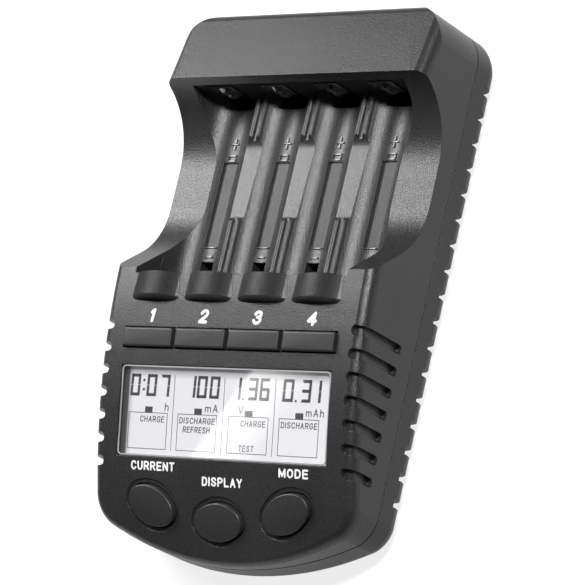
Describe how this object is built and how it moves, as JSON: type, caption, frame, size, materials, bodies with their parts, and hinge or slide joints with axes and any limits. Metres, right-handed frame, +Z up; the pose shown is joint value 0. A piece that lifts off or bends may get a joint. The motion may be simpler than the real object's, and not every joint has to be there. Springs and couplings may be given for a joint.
{
  "type": "aa battery charger",
  "caption": "Desk battery charger with cell slots in an open valley under a sloped hood, a bowed panel with a display window, bar keys and oval keys, and vented sides.",
  "frame": {"origin": "middle of the case, on the plane the rubber feet stand on", "axes": "+Y along the case towards the hood, +Z up out of the panel, +X to the right"},
  "size_m": [0.0754, 0.129, 0.0326],
  "materials": {
    "front_shell": "fine grain",
    "back_shell": "fine grain",
    "window": "clear",
    "lcd": "pale display",
    "light_plastic": "moulded",
    "rubber_strip": "soft",
    "board": "board",
    "black_parts": "moulded",
    "keys": "satin",
    "contacts": "plated strip",
    "steel": "zinc plated",
    "feet": "soft"
  },
  "bodies": {
    "case": {"front_cover": "front_shell", "back_cover": "back_shell", "lcd_window": "window", "lcd_glass": "lcd", "lcd_frame": "light_plastic", "zebra_strip": "rubber_strip", "display_board": "board", "key_switches": "black_parts", "display_screws": "steel", "main_board": "board", "control_chip": "black_parts", "charge_transistors": "black_parts", "board_screws": "steel", "board_link": "black_parts", "dc_jack": "black_parts", "case_screws": "steel", "rubber_feet": "feet", "plus_contact_1": "contacts", "plus_contact_2": "contacts", "plus_contact_3": "contacts", "plus_contact_4": "contacts"},
    "slot_button_1": {"slot_button_1": "keys"},
    "slot_button_2": {"slot_button_2": "keys"},
    "slot_button_3": {"slot_button_3": "keys"},
    "slot_button_4": {"slot_button_4": "keys"},
    "current_button": {"current_button": "keys"},
    "display_button": {"display_button": "keys"},
    "mode_button": {"mode_button": "keys"},
    "minus_contact_1": {"minus_contact_1": "contacts"},
    "minus_contact_2": {"minus_contact_2": "contacts"},
    "minus_contact_3": {"minus_contact_3": "contacts"},
    "minus_contact_4": {"minus_contact_4": "contacts"},
    "aaa_contact_1": {"aaa_contact_1": "contacts"},
    "aaa_contact_2": {"aaa_contact_2": "contacts"},
    "aaa_contact_3": {"aaa_contact_3": "contacts"},
    "aaa_contact_4": {"aaa_contact_4": "contacts"}
  },
  "joints": [
    {"name": "slot_button_1_press", "type": "slide", "parent": "case", "child": "slot_button_1", "axis": [0, 0.1447, -0.9895], "range_m": [0, 0.0006], "stiffness_N_per_m": 2500},
    {"name": "slot_button_2_press", "type": "slide", "parent": "case", "child": "slot_button_2", "axis": [0, 0.1447, -0.9895], "range_m": [0, 0.0006], "stiffness_N_per_m": 2500},
    {"name": "slot_button_3_press", "type": "slide", "parent": "case", "child": "slot_button_3", "axis": [0, 0.1447, -0.9895], "range_m": [0, 0.0006], "stiffness_N_per_m": 2500},
    {"name": "slot_button_4_press", "type": "slide", "parent": "case", "child": "slot_button_4", "axis": [0, 0.1447, -0.9895], "range_m": [0, 0.0006], "stiffness_N_per_m": 2500},
    {"name": "current_button_press", "type": "slide", "parent": "case", "child": "current_button", "axis": [0, 0.3849, -0.923], "range_m": [0, 0.0006], "stiffness_N_per_m": 2500},
    {"name": "display_button_press", "type": "slide", "parent": "case", "child": "display_button", "axis": [0, 0.402, -0.9157], "range_m": [0, 0.0006], "stiffness_N_per_m": 2500},
    {"name": "mode_button_press", "type": "slide", "parent": "case", "child": "mode_button", "axis": [0, 0.3849, -0.923], "range_m": [0, 0.0006], "stiffness_N_per_m": 2500},
    {"name": "minus_contact_1_bend", "type": "hinge", "parent": "case", "child": "minus_contact_1", "pos_m": [-0.02325, -0.0045, 0.0103], "axis": [1, 0, 0], "range_deg": [0, 8.5], "stiffness_Nm_per_rad": 0.5},
    {"name": "minus_contact_2_bend", "type": "hinge", "parent": "case", "child": "minus_contact_2", "pos_m": [-0.00775, -0.0045, 0.0103], "axis": [1, 0, 0], "range_deg": [0, 8.5], "stiffness_Nm_per_rad": 0.5},
    {"name": "minus_contact_3_bend", "type": "hinge", "parent": "case", "child": "minus_contact_3", "pos_m": [0.00775, -0.0045, 0.0103], "axis": [1, 0, 0], "range_deg": [0, 8.5], "stiffness_Nm_per_rad": 0.5},
    {"name": "minus_contact_4_bend", "type": "hinge", "parent": "case", "child": "minus_contact_4", "pos_m": [0.02325, -0.0045, 0.0103], "axis": [1, 0, 0], "range_deg": [0, 8.5], "stiffness_Nm_per_rad": 0.5},
    {"name": "aaa_contact_1_bend", "type": "hinge", "parent": "case", "child": "aaa_contact_1", "pos_m": [-0.02325, -0.0018, 0.0103], "axis": [-1, 0, 0], "range_deg": [0, 32], "stiffness_Nm_per_rad": 0.03},
    {"name": "aaa_contact_2_bend", "type": "hinge", "parent": "case", "child": "aaa_contact_2", "pos_m": [-0.00775, -0.0018, 0.0103], "axis": [-1, 0, 0], "range_deg": [0, 32], "stiffness_Nm_per_rad": 0.03},
    {"name": "aaa_contact_3_bend", "type": "hinge", "parent": "case", "child": "aaa_contact_3", "pos_m": [0.00775, -0.0018, 0.0103], "axis": [-1, 0, 0], "range_deg": [0, 32], "stiffness_Nm_per_rad": 0.03},
    {"name": "aaa_contact_4_bend", "type": "hinge", "parent": "case", "child": "aaa_contact_4", "pos_m": [0.02325, -0.0018, 0.0103], "axis": [-1, 0, 0], "range_deg": [0, 32], "stiffness_Nm_per_rad": 0.03}
  ]
}
